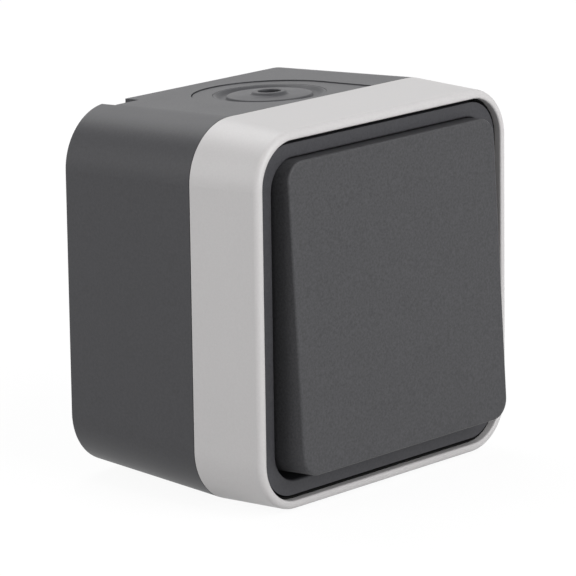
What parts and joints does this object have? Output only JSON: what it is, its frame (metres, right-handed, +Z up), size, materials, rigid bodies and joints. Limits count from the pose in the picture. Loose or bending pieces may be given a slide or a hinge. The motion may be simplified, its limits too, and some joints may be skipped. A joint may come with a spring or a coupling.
{
  "type": "surface-mounted weatherproof rocker switch",
  "caption": "Square surface-mounted outdoor switch: drafted back box with membrane cable entries, tapered frame with a round lip, and one large tilting rocker.",
  "frame": {"origin": "middle of the wall face of the back box", "axes": "+X right as seen from the front, +Y into the wall, +Z up"},
  "size_m": [0.075, 0.0565, 0.075],
  "materials": {
    "box": "fine matt texture",
    "membrane": "soft, matt",
    "seal": "soft, matt",
    "frame": "satin",
    "bezel": "satin",
    "insert": "satin",
    "steel": "zinc plated",
    "contact_brass": "stamped",
    "contact_tip": "silver",
    "rocker": "fine matt texture",
    "carrier": "satin"
  },
  "bodies": {
    "housing": {"back_box": "box", "top_entry_slide": "box", "top_entry_membrane": "membrane", "bottom_entry_slide": "box", "bottom_entry_membrane": "membrane", "fixing_hole_seals": "seal", "cover_gasket": "seal", "cover_frame": "frame", "bezel": "bezel", "rocker_seal": "seal", "insert_base": "insert", "insert_lid": "insert", "insert_screws": "steel", "insert_rivets": "steel", "common_contact": "contact_brass", "upper_fixed_contact": "contact_brass", "lower_fixed_contact": "contact_brass", "fixed_contact_tips": "contact_tip", "terminal_clamps": "contact_brass", "terminal_screws": "steel"},
    "rocker": {"rocker_cap": "rocker", "rocker_carrier": "carrier", "plunger_spring": "steel"},
    "plunger": {"plunger": "insert"},
    "contact_arm": {"contact_arm": "contact_brass", "moving_contact_tips": "contact_tip"}
  },
  "joints": [
    {"name": "rocker_tilt", "type": "hinge", "parent": "housing", "child": "rocker", "pos_m": [0, -0.0363, 0], "axis": [1, 0, 0], "range_deg": [0, 6.6]},
    {"name": "plunger_slide", "type": "slide", "parent": "rocker", "child": "plunger", "axis": [0, -0.9983, 0.0576], "range_m": [0, 0.0004], "stiffness_N_per_m": 400, "springref_m": -0.002, "deforming": ["plunger_spring"]},
    {"name": "contact_rock", "type": "hinge", "parent": "housing", "child": "contact_arm", "pos_m": [0, -0.019, 0], "axis": [1, 0, 0], "range_deg": [-11, 0]}
  ],
  "couplings": [
    {"joint": "contact_rock", "follows": "rocker_tilt", "ratio": -1.6667}
  ]
}
